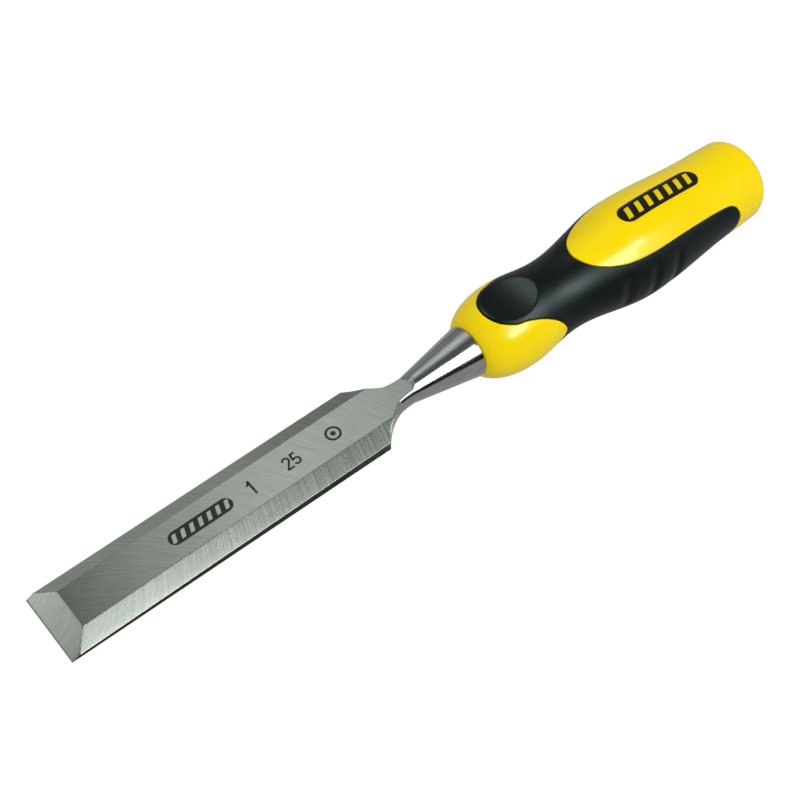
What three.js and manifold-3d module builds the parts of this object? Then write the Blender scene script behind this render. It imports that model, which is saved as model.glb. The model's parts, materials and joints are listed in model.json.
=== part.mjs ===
// Bevel-edge bench chisel with a two-material moulded handle.
//
// Three solids: a one-piece steel blade with its tang, a hard plastic handle moulded
// round that tang, and a soft grip moulded into a pocket in the handle.
//
// Tool frame, in which the pieces are shaped (millimetres): X runs from the cutting edge
// to the butt, Y across the blade, Z up from the blade's flat back. The finished tool is
// then laid on the bench, touching it with its cutting edge and the bulb of its handle.

import * as THREE from 'three';
import { mergeVertices } from 'three/addons/utils/BufferGeometryUtils.js';
import Module from 'manifold-3d';

const wasm = await Module();
wasm.setup();

// Blade: a ground section that thickens evenly towards the shoulder.
const BLADE_WIDTH = 25;
const BLADE_LENGTH = 112;
const TIP_THICKNESS = 3.9;
const SHOULDER_THICKNESS = 6.05;
const SIDE_HEIGHT = 1.25;
const TOP_FLAT_WIDTH = 13.9;
const CUTTING_BEVEL_DEG = 27.5;

// Forged neck and bolster, round about the handle's axis.
const AXIS_HEIGHT = 3;
const NECK_X = 128.7;
const NECK_RADIUS = 4.5;
const BOLSTER_END_X = 153.6;
const BOLSTER_RADIUS = 9;
const SHOULDER_SWEEP = 2.6;
const SHOULDER_ROUNDING = 0.6;
const GRIND_RUNOUT_DEG = 50;

// Height of the forging before its top is ground, and a step too small to see, which keeps
// the surfaces of joined solids from coinciding.
const FORGED_HEIGHT = 8;
const STEP = 0.01;

// Tang, hidden in the handle.
const TANG_END_X = 216;
const TANG_ROOT = { width: 9, height: 6 };
const TANG_TIP = { width: 5, height: 3.5 };
const TANG_CORNER = 1;

// Handle: a quarter ellipse, cut off where it meets the bolster, leads to the first station,
// and the radius then runs smoothly from each station to the next.
const HANDLE_FRONT = { x: 153.9, vertex: 153.5, lip: 6.8 };
const HANDLE_STATIONS = [
  { x: 170.9, r: 15.2 },
  { x: 191, r: 13.2 },
  { x: 225.3, r: 17.9 },
  { x: 267.5, r: 15.4 },
];
const BUTT = { x: 279.8, r: 15.1, edge: 5 };

// Soft grip: its two edges, given for one quarter of the way round as degrees from the
// top and distance from the cutting edge, joined smoothly. The other quarters mirror it.
const GRIP_FRONT_EDGE = [
  [0, 159.6], [22, 161.2], [36, 165.5], [40, 169.6], [48, 174.8], [60, 179.6], [75, 183], [90, 184.6],
];
const GRIP_REAR_EDGE = [
  [0, 198.2], [24, 200.7], [40, 205.9], [49, 212.5], [52, 222], [53, 238], [57, 254], [62, 260.8],
  [75, 263.8], [90, 264.6],
];
const GRIP_THICKNESS = 3.5;
const GRIP_MEAN_RADIUS = 16;

// Thumb rest: a dish in the grip, on the side of the blade's bevels, cut by an ellipsoid
// whose lowest point is at this x and depth.
const THUMB_REST = { x: 169.5, length: 32.8, width: 56, height: 16, depth: 2.8 };

// Clearance round the tang and under the grip, and along the grip's edges.
const GAP = 0.3;
const EDGE_GAP = 0.36;

// Fineness of the faceted surfaces.
const ROUND_SIDES = 40;
const STATION_STEP = 5;
const GRIP_EDGE_STEPS = 12;

// Closed solid through rings of equal length: capped at both ends, or joined end to end.
function skin(rings, joined = false) {
  const size = rings[0].length;
  const positions = rings.flat().flatMap((point) => point.toArray());
  const faces = [];
  const spans = joined ? rings.length : rings.length - 1;
  for (let ring = 0; ring < spans; ring += 1) {
    const here = ring * size;
    const next = ((ring + 1) % rings.length) * size;
    for (let i = 0; i < size; i += 1) {
      const j = (i + 1) % size;
      faces.push(here + i, here + j, next + j, here + i, next + j, next + i);
    }
  }
  if (!joined) {
    const last = (rings.length - 1) * size;
    for (let i = 1; i < size - 1; i += 1) {
      faces.push(0, i + 1, i);
      faces.push(last, last + i, last + i + 1);
    }
  }
  const geometry = new THREE.BufferGeometry();
  geometry.setAttribute('position', new THREE.Float32BufferAttribute(positions, 3));
  geometry.setIndex(faces);
  return geometry;
}

// Solid of revolution about the handle's axis, from [x, radius] points.
function turned(profile) {
  const points = profile.map(([x, radius]) => new THREE.Vector2(radius, x));
  const geometry = new THREE.LatheGeometry(points, ROUND_SIDES);
  geometry.rotateZ(-Math.PI / 2);
  geometry.translate(0, 0, AXIS_HEIGHT);
  return geometry;
}

// Prism across the blade's width, from [x, z] points taken anticlockwise.
function crosswisePrism(outline, width) {
  const shape = new THREE.Shape(outline.map(([x, z]) => new THREE.Vector2(x, z)));
  const geometry = new THREE.ExtrudeGeometry(shape, { depth: width, bevelEnabled: false });
  geometry.translate(0, 0, -width / 2);
  geometry.rotateX(Math.PI / 2);
  return geometry;
}

// Prism along the blade, from [y, z] points, starting at x = start.
function lengthwisePrism(outline, start, length) {
  const shape = new THREE.Shape(outline.map(([y, z]) => new THREE.Vector2(y, z)));
  const geometry = new THREE.ExtrudeGeometry(shape, { depth: length, bevelEnabled: false });
  geometry.rotateX(Math.PI / 2);
  geometry.rotateZ(Math.PI / 2);
  geometry.translate(start, 0, 0);
  return geometry;
}

// Closed geometry as a solid, with its faces turned outwards if they point in.
function solid(geometry) {
  const bare = geometry.clone();
  bare.deleteAttribute('normal');
  bare.deleteAttribute('uv');
  const merged = mergeVertices(bare, 1e-5);
  const fromFaces = (faces) => new wasm.Manifold(new wasm.Mesh({
    numProp: 3,
    vertProperties: Float32Array.from(merged.attributes.position.array),
    triVerts: Uint32Array.from(faces),
  }));
  const faces = Array.from(merged.index.array);
  const asGiven = fromFaces(faces);
  return asGiven.volume() > 0 ? asGiven : fromFaces(faces.reverse());
}

function toGeometry(manifold) {
  const mesh = manifold.getMesh();
  const geometry = new THREE.BufferGeometry();
  geometry.setAttribute('position', new THREE.BufferAttribute(mesh.vertProperties, 3));
  geometry.setIndex(new THREE.BufferAttribute(mesh.triVerts, 1));
  geometry.computeVertexNormals();
  return geometry;
}

// Rectangle with rounded corners across the tool at x, as a ring of points.
function roundedRing(x, halfWidth, low, high, radius) {
  const turns = ROUND_SIDES / 4;
  const corners = [
    [halfWidth - radius, high - radius],
    [-halfWidth + radius, high - radius],
    [-halfWidth + radius, low + radius],
    [halfWidth - radius, low + radius],
  ];
  return corners.flatMap(([y, z], corner) => {
    const arc = [];
    for (let step = 0; step <= turns; step += 1) {
      const angle = (Math.PI / 2) * (corner + step / turns);
      arc.push(new THREE.Vector3(x, y + radius * Math.cos(angle), z + radius * Math.sin(angle)));
    }
    return arc;
  });
}

// Shoulder: sweeps in from the blade's full rectangle to the round neck, and its section is
// rounded over the first share of the way. It starts a little way inside the blade.
function shoulder() {
  const { lerp, smoothstep } = THREE.MathUtils;
  const overlap = 1;
  const steps = 14;
  const sharp = 0.2;
  const fullWidth = BLADE_WIDTH / 2 - STEP;
  const rings = [roundedRing(BLADE_LENGTH - overlap, fullWidth, STEP, FORGED_HEIGHT, sharp)];
  for (let step = 0; step <= steps; step += 1) {
    const along = step / steps;
    const x = lerp(BLADE_LENGTH, NECK_X, along);
    const halfWidth = lerp(NECK_RADIUS, fullWidth, (1 - along) ** SHOULDER_SWEEP);
    const rounded = Math.min(along / SHOULDER_ROUNDING, 1);
    const round = smoothstep(rounded, 0, 1);
    const low = lerp(STEP, AXIS_HEIGHT - NECK_RADIUS, round);
    const high = lerp(FORGED_HEIGHT, AXIS_HEIGHT + NECK_RADIUS, round);
    const corner = lerp(sharp, NECK_RADIUS - STEP, rounded);
    rings.push(roundedRing(x, halfWidth, low, high, corner));
  }
  return skin(rings);
}

function tang(clearance) {
  const ends = [
    { x: BOLSTER_END_X - 1, ...TANG_ROOT },
    { x: TANG_END_X + clearance, ...TANG_TIP },
  ];
  return skin(ends.map(({ x, width, height }) => roundedRing(
    x,
    width / 2 + clearance,
    AXIS_HEIGHT - height / 2 - clearance,
    AXIS_HEIGHT + height / 2 + clearance,
    TANG_CORNER,
  )));
}

// What the grinding wheel takes off above the blade's three upper faces. It runs out on
// the neck in a short slope.
function grinding() {
  const reach = 5;
  const sky = 30;
  const taper = Math.atan2(SHOULDER_THICKNESS - TIP_THICKNESS, BLADE_LENGTH);
  const bevelSlope = (TIP_THICKNESS - SIDE_HEIGHT) / ((BLADE_WIDTH - TOP_FLAT_WIDTH) / 2);
  const outerHeight = SIDE_HEIGHT - reach * bevelSlope;
  const outerY = BLADE_WIDTH / 2 + reach;
  const roof = lengthwisePrism([
    [outerY, outerHeight],
    [outerY, sky],
    [-outerY, sky],
    [-outerY, outerHeight],
    [-TOP_FLAT_WIDTH / 2, TIP_THICKNESS],
    [TOP_FLAT_WIDTH / 2, TIP_THICKNESS],
  ], -reach, NECK_X + 4 * reach);
  roof.rotateY(-taper);
  const slope = 1 / Math.tan(THREE.MathUtils.degToRad(GRIND_RUNOUT_DEG));
  const runoutX = (z) => NECK_X + (z - SHOULDER_THICKNESS) * slope;
  const runout = crosswisePrism([
    [-2 * reach, -reach],
    [runoutX(-reach), -reach],
    [runoutX(sky), sky],
    [-2 * reach, sky],
  ], 2 * BLADE_WIDTH);
  return solid(roof).intersect(solid(runout));
}

// What is ground away to leave the cutting edge.
function cuttingBevel() {
  const slope = Math.tan(THREE.MathUtils.degToRad(CUTTING_BEVEL_DEG));
  const reach = 20;
  return crosswisePrism([
    [-reach, -reach * slope],
    [reach, reach * slope],
    [-reach, reach * slope],
  ], 2 * BLADE_WIDTH);
}

function bladeGeometry() {
  const plate = crosswisePrism([
    [-1, 0],
    [BLADE_LENGTH, 0],
    [BLADE_LENGTH, FORGED_HEIGHT],
    [-1, FORGED_HEIGHT],
  ], BLADE_WIDTH);
  const bolster = turned([
    [NECK_X - 1, 0],
    [NECK_X - 1, NECK_RADIUS - 0.2],
    [NECK_X, NECK_RADIUS],
    [BOLSTER_END_X, BOLSTER_RADIUS],
    [BOLSTER_END_X, 0],
  ]);
  return toGeometry(
    solid(plate)
      .add(solid(shoulder()))
      .add(solid(bolster))
      .subtract(grinding())
      .subtract(solid(cuttingBevel()))
      .add(solid(tang(0))),
  );
}

// Radius of the handle's surface at x, from its front to the start of the butt's rounding.
function handleRadius(x) {
  const front = HANDLE_STATIONS[0];
  if (x <= front.x) {
    const across = (front.x - x) / (front.x - HANDLE_FRONT.vertex);
    return HANDLE_FRONT.lip + (front.r - HANDLE_FRONT.lip) * Math.sqrt(1 - across ** 2);
  }
  const end = { x: BUTT.x - BUTT.edge, r: BUTT.r };
  const stations = [...HANDLE_STATIONS, end];
  const next = stations.findIndex((station) => station.x >= x);
  const from = stations[next - 1];
  const to = stations[next];
  const along = (x - from.x) / (to.x - from.x);
  return THREE.MathUtils.lerp(from.r, to.r, (1 - Math.cos(Math.PI * along)) / 2);
}

// Handle surface from x = start to x = end, as [x, radius] points set inwards by a depth.
function handleProfile(start, end, depth) {
  const steps = Math.ceil((end - start) / STATION_STEP);
  const points = [];
  for (let step = 0; step <= steps; step += 1) {
    const x = THREE.MathUtils.lerp(start, end, step / steps);
    points.push([x, handleRadius(x) - depth]);
  }
  return points;
}

function handleSolid() {
  const lip = [0, 0.3, 0.9, 1.8, 3].map((step) => {
    const x = HANDLE_FRONT.x + step;
    return [x, handleRadius(x)];
  });
  const side = handleProfile(HANDLE_FRONT.x + STATION_STEP, BUTT.x - BUTT.edge, 0);
  const rounding = [];
  const turns = 6;
  for (let turn = 1; turn <= turns; turn += 1) {
    const angle = (Math.PI / 2) * (turn / turns);
    rounding.push([
      BUTT.x - BUTT.edge * (1 - Math.sin(angle)),
      BUTT.r - BUTT.edge * (1 - Math.cos(angle)),
    ]);
  }
  return solid(turned([[HANDLE_FRONT.x, 0], ...lip, ...side, ...rounding, [BUTT.x, 0]]));
}

// One edge of the grip, all the way round, as points in the unrolled surface: x along the
// tool and arc length round it. A positive offset moves the edge towards the butt.
function gripEdge(quarter, offset) {
  const arcPerDegree = THREE.MathUtils.degToRad(GRIP_MEAN_RADIUS);
  const curve = new THREE.SplineCurve(
    quarter.map(([degrees, x]) => new THREE.Vector2(x, degrees * arcPerDegree)),
  );
  const points = curve.getSpacedPoints(GRIP_EDGE_STEPS);
  const halfTurn = 180 * arcPerDegree;
  const back = points.slice(0, -1).reverse().map(({ x, y }) => new THREE.Vector2(x, halfTurn - y));
  const half = [...points, ...back];
  const rest = half.slice(0, -1).map(({ x, y }) => new THREE.Vector2(x, y + halfTurn));
  const loop = [...half.slice(0, -1), ...rest];
  return loop.map((point, i) => {
    const before = i > 0 ? loop[i - 1] : new THREE.Vector2(loop[1].x, -loop[1].y);
    const after = i + 1 < loop.length ? loop[i + 1] : new THREE.Vector2(loop[0].x, 2 * halfTurn);
    const along = after.clone().sub(before).normalize();
    return point.clone().add(new THREE.Vector2(along.y, -along.x).multiplyScalar(offset));
  });
}

// Everything that lies radially between the grip's two edges.
function gripSleeve(gap) {
  const inner = 5;
  const outer = 2.5 * GRIP_MEAN_RADIUS;
  const front = gripEdge(GRIP_FRONT_EDGE, -gap);
  const rear = gripEdge(GRIP_REAR_EDGE, gap);
  const place = ({ x, y }, radius) => {
    const angle = y / GRIP_MEAN_RADIUS;
    return new THREE.Vector3(x, radius * Math.sin(angle), AXIS_HEIGHT + radius * Math.cos(angle));
  };
  const rings = front.map((edge, i) => [
    place(edge, inner),
    place(edge, outer),
    place(rear[i], outer),
    place(rear[i], inner),
  ]);
  return solid(skin(rings, true));
}

// The layer just under the handle's surface, from an inner depth out past the surface.
function surfaceLayer(depth, standoff) {
  const start = HANDLE_FRONT.x + 3;
  const end = BUTT.x - BUTT.edge - 3;
  const inside = handleProfile(start, end, depth);
  const outside = handleProfile(start, end, -standoff).reverse();
  return solid(turned([...inside, ...outside, inside[0]]));
}

function thumbRest() {
  const { x, length, width, depth, height } = THUMB_REST;
  const dish = new THREE.SphereGeometry(1, ROUND_SIDES, ROUND_SIDES / 2);
  dish.scale(length / 2, width / 2, height / 2);
  dish.translate(x, 0, AXIS_HEIGHT + handleRadius(x) + height / 2 - depth);
  return solid(dish);
}

function gripGeometry() {
  const layer = surfaceLayer(GRIP_THICKNESS, 0);
  return toGeometry(layer.intersect(gripSleeve(0)).subtract(thumbRest()));
}

function handleGeometry() {
  const pocket = surfaceLayer(GRIP_THICKNESS + GAP, 2).intersect(gripSleeve(EDGE_GAP));
  return toGeometry(handleSolid().subtract(pocket).subtract(solid(tang(GAP))));
}

function part(name, geometry, color, roughness, metalness) {
  const mesh = new THREE.Mesh(geometry, new THREE.MeshStandardMaterial({ color, roughness, metalness }));
  mesh.name = name;
  return mesh;
}

// Angle at which the cutting edge and the underside of the handle both touch the bench.
function restingTilt() {
  const steepest = handleProfile(HANDLE_FRONT.x, BUTT.x - BUTT.edge, 0)
    .map(([x, radius]) => (radius - AXIS_HEIGHT) / x);
  return Math.atan(Math.max(...steepest));
}

const tool = new THREE.Group();
tool.add(
  part('blade', bladeGeometry(), 0x8b938c, 0.32, 1),
  part('handle_core', handleGeometry(), 0xf7d408, 0.3, 0),
  part('soft_grip', gripGeometry(), 0x1d2224, 0.7, 0),
);
tool.rotation.y = -restingTilt();

// Origin: on the bench, under the middle of the tool.
const extent = new THREE.Box3().setFromObject(tool, true);
tool.position.set(-(extent.min.x + extent.max.x) / 2, 0, -extent.min.z);

const chisel = new THREE.Group();
chisel.add(tool);

export default chisel;
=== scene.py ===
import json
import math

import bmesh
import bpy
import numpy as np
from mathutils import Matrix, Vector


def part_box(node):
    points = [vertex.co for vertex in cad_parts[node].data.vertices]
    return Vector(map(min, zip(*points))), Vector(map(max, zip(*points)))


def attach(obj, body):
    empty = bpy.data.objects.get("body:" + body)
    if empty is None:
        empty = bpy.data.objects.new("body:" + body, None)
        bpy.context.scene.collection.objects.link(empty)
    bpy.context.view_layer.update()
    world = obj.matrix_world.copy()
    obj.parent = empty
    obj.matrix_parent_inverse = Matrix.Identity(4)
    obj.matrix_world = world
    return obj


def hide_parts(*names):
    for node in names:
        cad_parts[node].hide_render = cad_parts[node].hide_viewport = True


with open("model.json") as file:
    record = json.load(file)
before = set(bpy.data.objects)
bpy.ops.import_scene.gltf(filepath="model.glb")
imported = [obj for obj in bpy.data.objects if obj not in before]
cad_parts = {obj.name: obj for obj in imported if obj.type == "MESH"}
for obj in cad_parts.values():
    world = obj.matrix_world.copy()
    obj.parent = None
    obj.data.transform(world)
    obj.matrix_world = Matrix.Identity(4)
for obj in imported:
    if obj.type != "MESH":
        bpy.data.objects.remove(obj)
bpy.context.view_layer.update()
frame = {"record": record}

# Looks of a bevel-edge bench chisel: a ground steel blade with a polished bolster, a glossy
# yellow handle, and a soft black grip moulded round it.
#
# Everything is shaped in the tool's own frame, in millimetres: X from the cutting edge to the
# butt, Y across the blade, Z up from the blade's flat back. It is then laid on the bench as the
# CAD part lies, and turned into metres. Angles round the handle are measured from its top. Lamps,
# cards and the floor are placed in the bench frame, in metres.

MM = 0.001

# Ground blade. The thicknesses are those of the flat, carried on to the cutting edge.
BLADE_LENGTH = 112
TIP_THICKNESS = 3.9
SHOULDER_THICKNESS = 6.05
SIDE_HEIGHT = 1.25
TOP_FLAT_WIDTH = 13.9
CUTTING_BEVEL_DEG = 27.5
CUTTING_LAND = 0.04
EDGE_EASE = 0.12

# Forging that the blade is ground from. The sweep is a power, and the rounding is the share of the
# shoulder over which its section turns round.
FORGED_HEIGHT = 8
AXIS_HEIGHT = 3
SHOULDER_SWEEP = 2.6
SHOULDER_ROUNDING = 0.6
NECK_X = 128.7
NECK_RADIUS = 4.5
BOLSTER_END_X = 153.6
BOLSTER_RADIUS = 9
BOLSTER_EDGE = 0.3

# Where the grinding ends: the side bevels, and the bowed edge of the flat on the neck.
BEVEL_END_X = 122
GRIND_END_X = 129.7
GRIND_END_BOW = 0.12
GRIND_RUNOUT_DEG = 50

# Tang, as (width, height) at each end.
TANG_END_X = 216
TANG_ROOT = (9, 6)
TANG_TIP = (5, 3.5)
TANG_CORNER = 1
TANG_GAP = 0.3

# Handle: the same stations as the CAD handle, as (x, radius). Its front is a quarter of an ellipse
# that starts at the vertex, with the lip's radius, and is cut off at the front.
HANDLE_FRONT_X = 153.9
HANDLE_VERTEX_X = 153.5
HANDLE_LIP = 6.8
HANDLE_STATIONS = [(170.9, 15.2), (191, 13.2), (225.3, 17.9), (267.5, 15.4)]
BUTT_X = 279.8
BUTT_RADIUS = 15.1
BUTT_EDGE = 5

# Grip: its two edges over a quarter turn, as (degrees from the top, x).
GRIP_FRONT_EDGE = [
    (0, 159.6), (22, 161.2), (36, 165.5), (40, 169.6), (48, 174.8), (60, 179.6), (75, 183), (90, 184.6),
]
GRIP_REAR_EDGE = [
    (0, 198.2), (24, 200.7), (40, 205.9), (49, 212.5), (52, 222), (53, 238), (57, 254), (62, 260.8),
    (75, 263.8), (90, 264.6),
]
GRIP_MEAN_RADIUS = 16
GRIP_THICKNESS = 3.5
POCKET_DEPTH = 3.8

# Seam between the handle and the grip: half of its gap, the rounding of its edges, and both.
HALF_GAP = 0.1
SEAM_EASE = 0.3
SEAM_REACH = HALF_GAP + SEAM_EASE

# Thumb rest: an ellipsoid of this length, width and height, sunk to a depth into the grip's top.
THUMB_REST = {"x": 169.5, "length": 32.8, "width": 56, "depth": 2.8, "height": 16, "ease": 0.25}

# Finger grooves. The spread is an angle either side of the flank, the fade is where a groove ends,
# in spreads, and the rear slope is how much steeper a groove is towards the butt.
FINGER_GROOVES_X = [211, 222, 232.5]
GROOVE = {"depth": 0.9, "width": 2.4, "spread": 26, "fade": 1.3, "rear_slope": 2}

# Patches with a row of slanted bars. Pitch and height are shares of the patch's width, the share
# is the bar's part of the pitch, the lean is its shift along the patch for its rise across it, and
# each_side counts the bars either side of the middle one.
LABEL = {"x": 236.8, "length": 35.8, "width": 7.5}
BLADE_PATCH = {"x": 51.5, "length": 22, "width": 4.9}
BARS = {"pitch": 0.62, "height": 0.6, "share": 0.44, "lean": -0.35, "each_side": 3}

# Marks on the blade: a ring with a dot, and size figures as (name, digits, x, height).
BLADE_RING = {"x": 99.7, "outer": 2.65, "inner": 1.9, "dot": 0.85}
FIGURES = [("size_inch", "1", 69.8, 5.3), ("size_mm", "25", 84.1, 4.7)]
INK = 0.03

# Fineness of the blade's mesh: points along each stretch of half a section, the first sections
# behind the cutting edge, and how far before and after the grinding's end they lie close together.
BACK_POINTS = 8
CORNER_POINTS = 22
SIDE_POINTS = 26
BEVEL_POINTS = 4
FLAT_POINTS = 12
EASE_POINTS = 3
FORGED_TOP_POINTS = 60
TIP_STATIONS = [0.6, 1.5]
RUNOUT_LEAD = 1
RUNOUT_TRAIL = 1.4

# Fineness of the handle's and the grip's meshes: columns round them, and rows of each stretch.
GRIP_COLUMNS = 480
GRIP_ROWS = 150
GRIP_INSIDE_ROWS = 20
BULB_ROWS = 40
POCKET_ROWS = 24
SHELL_ROWS = 60
BUTT_EDGE_ROWS = 17
BUTT_FACE_ROWS = 12
SEAM_ROWS = 5

# Fineness of the marks.
PATCH_END_ROWS = 16
PATCH_ROWS = 30
PATCH_COLUMNS = 12
RING_POINTS = 48

# Lengths that count as nothing. The last also keeps a divisor off 0.
SAME_POINT = 1e-3
MERGED = 1e-4
COLLAPSED = 1e-5
TINY = 1e-9


def resting_frame():
    """Matrix from the tool's frame, in mm, to the bench frame, in metres.

    The tool is tilted until its back faces the way that the record's blade_back mount says."""
    back = next(mount for mount in frame["record"]["mounts"] if mount["name"] == "blade_back")
    tilt = math.atan2(back["axis"][0], -back["axis"][2])
    edge_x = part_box("blade")[0].x
    return Matrix.Translation((edge_x, 0, 0)) @ Matrix.Rotation(-tilt, 4, "Y") @ Matrix.Scale(MM, 4)


TOOL_TO_BENCH = resting_frame()
BLADE_WIDTH = (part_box("blade")[1].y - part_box("blade")[0].y) / MM
TAPER = (SHOULDER_THICKNESS - TIP_THICKNESS) / BLADE_LENGTH
BEVEL_SLOPE = (TIP_THICKNESS - SIDE_HEIGHT) / ((BLADE_WIDTH - TOP_FLAT_WIDTH) / 2)
CUT_SLOPE = math.tan(math.radians(CUTTING_BEVEL_DEG))
RUNOUT_SLOPE = math.tan(math.radians(GRIND_RUNOUT_DEG))
SIDE_START_X = SIDE_HEIGHT / (CUT_SLOPE - TAPER)
FLAT_START_X = TIP_THICKNESS / (CUT_SLOPE - TAPER)


# ---- Meshes -----------------------------------------------------------------------------

# Name under which a mesh keeps the places of its points in the tool's frame.
TOOL_PLACE = "tool"


def smoothstep(t):
    t = np.clip(t, 0, 1)
    return t * t * (3 - 2 * t)


def lerp(a, b, t):
    return a + (b - a) * t


def add_piece(name, mesh, materials, node=None):
    """Puts a tool-frame mesh on the bench as a smooth-shaded piece riding on the tool."""
    piece = bpy.data.objects.new(name, mesh)
    bpy.context.scene.collection.objects.link(piece)
    store_tool_coordinates(mesh)
    mesh.transform(TOOL_TO_BENCH)
    for material in materials:
        mesh.materials.append(material)
    mesh.shade_smooth()
    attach(piece, "root")
    if node:
        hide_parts(node)
    return piece


def store_tool_coordinates(mesh):
    """Keeps each point's place in the tool's frame, in mm, for the materials."""
    count = len(mesh.vertices)
    places = np.empty(count * 3, np.float32)
    mesh.vertices.foreach_get("co", places)
    mesh.attributes.new(TOOL_PLACE, "FLOAT_VECTOR", "POINT").data.foreach_set("vector", places)


def grid_mesh(name, rows, joined=False, material_of=None, close_ends=False):
    """Closed mesh from rows of points, each row a loop. Points that meet are merged.

    material_of(row, column) gives a face's material slot. close_ends fills the first and last
    rows with one face each; joined makes the last row meet the first."""
    rows = np.asarray(rows, float)
    row_count, column_count = rows.shape[:2]
    mesh = bpy.data.meshes.new(name)
    shape = bmesh.new()
    points = [[shape.verts.new(point) for point in row] for row in rows]
    for i in range(row_count if joined else row_count - 1):
        here = points[i]
        there = points[(i + 1) % row_count]
        for j in range(column_count):
            k = (j + 1) % column_count
            face = shape.faces.new((here[j], here[k], there[k], there[j]))
            if material_of:
                face.material_index = material_of(i, j)
    if close_ends:
        shape.faces.new(points[0])
        last = shape.faces.new(points[-1])
        if material_of:
            last.material_index = material_of(row_count - 2, 0)
    bmesh.ops.remove_doubles(shape, verts=shape.verts, dist=MERGED)
    bmesh.ops.dissolve_degenerate(shape, edges=shape.edges, dist=COLLAPSED)
    bmesh.ops.recalc_face_normals(shape, faces=shape.faces)
    shape.to_mesh(mesh)
    shape.free()
    return mesh


def keep_planes_flat(piece):
    """Shades broad flat faces flat and the eased edges between them smooth."""
    normals = piece.modifiers.new("flat_faces", "WEIGHTED_NORMAL")
    normals.mode = "FACE_AREA"


# ---- Blade ------------------------------------------------------------------------------

# Materials of the blade, in the order of its material slots.
BACK, SIDE, LOWER_BEVEL, UPPER_BEVEL, FLAT, CUTTING, POLISHED = range(7)

# Points of half a section at which its back, its side and its bevel end.
BACK_END = BACK_POINTS + CORNER_POINTS // 2
SIDE_END = BACK_POINTS + CORNER_POINTS + SIDE_POINTS - 1
BEVEL_END = SIDE_END + EASE_POINTS + BEVEL_POINTS - 2

# Share of a corner's shorter side that its rounding may take.
MOST_EASED = 0.4


def forged_section(x):
    """Half width, lowest and highest points and corner radius of the forging at x."""
    half = BLADE_WIDTH / 2
    if x <= BLADE_LENGTH:
        return half, 0, FORGED_HEIGHT, EDGE_EASE
    if x >= NECK_X:
        radius = lerp(NECK_RADIUS, BOLSTER_RADIUS, (x - NECK_X) / (BOLSTER_END_X - NECK_X))
        return radius, AXIS_HEIGHT - radius, AXIS_HEIGHT + radius, radius
    along = (x - BLADE_LENGTH) / (NECK_X - BLADE_LENGTH)
    rounded = min(along / SHOULDER_ROUNDING, 1)
    blend = smoothstep(rounded)
    return (
        lerp(NECK_RADIUS, half, (1 - along) ** SHOULDER_SWEEP),
        lerp(0, AXIS_HEIGHT - NECK_RADIUS, blend),
        lerp(FORGED_HEIGHT, AXIS_HEIGHT + NECK_RADIUS, blend),
        lerp(EDGE_EASE, NECK_RADIUS, rounded),
    )


def grind_end(y):
    """x of the bowed edge where the ground flat ends on the neck."""
    return GRIND_END_X - GRIND_END_BOW * y ** 2


def ground_height(x, y):
    """Height of the cutting bevel, the top flat, or the slope that ends the grinding."""
    flat = TIP_THICKNESS + TAPER * x
    return np.minimum(flat + RUNOUT_SLOPE * np.maximum(x - grind_end(y), 0), CUT_SLOPE * x)


def arc(centre, radius, start, end, count):
    angles = np.radians(np.linspace(start, end, count))
    return np.stack([centre[0] + radius * np.cos(angles), centre[1] + radius * np.sin(angles)], -1)


def resampled(line, count):
    """Line of 2-D points, spaced evenly along the same path."""
    steps = np.hypot(*np.diff(line, axis=0).T)
    distance = np.concatenate([[0], np.cumsum(steps)])
    wanted = np.linspace(0, distance[-1], count)
    return np.stack([np.interp(wanted, distance, line[:, axis]) for axis in (0, 1)], -1)


def cut_below(line, height_at):
    """The part of an outline that comes before it first rises above height_at(y)."""
    excess = line[:, 1] - height_at(line[:, 0])
    above = np.flatnonzero(excess > 0)
    if not len(above):
        return line
    i = above[0]
    share = -excess[i - 1] / (excess[i] - excess[i - 1])
    return np.vstack([line[:i], lerp(line[i - 1], line[i], share)])


def eased_corner(before, corner, after):
    """Points of a small round from one straight side of a corner to the other."""
    inward, outward = before - corner, after - corner
    lengths = np.hypot(*inward), np.hypot(*outward)
    reach = min(EDGE_EASE, MOST_EASED * min(lengths))
    start = corner + inward * (reach / max(lengths[0], TINY))
    end = corner + outward * (reach / max(lengths[1], TINY))
    share = np.linspace(0, 1, EASE_POINTS)[:, None]
    return lerp(lerp(start, corner, share), lerp(corner, end, share), share)


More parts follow.
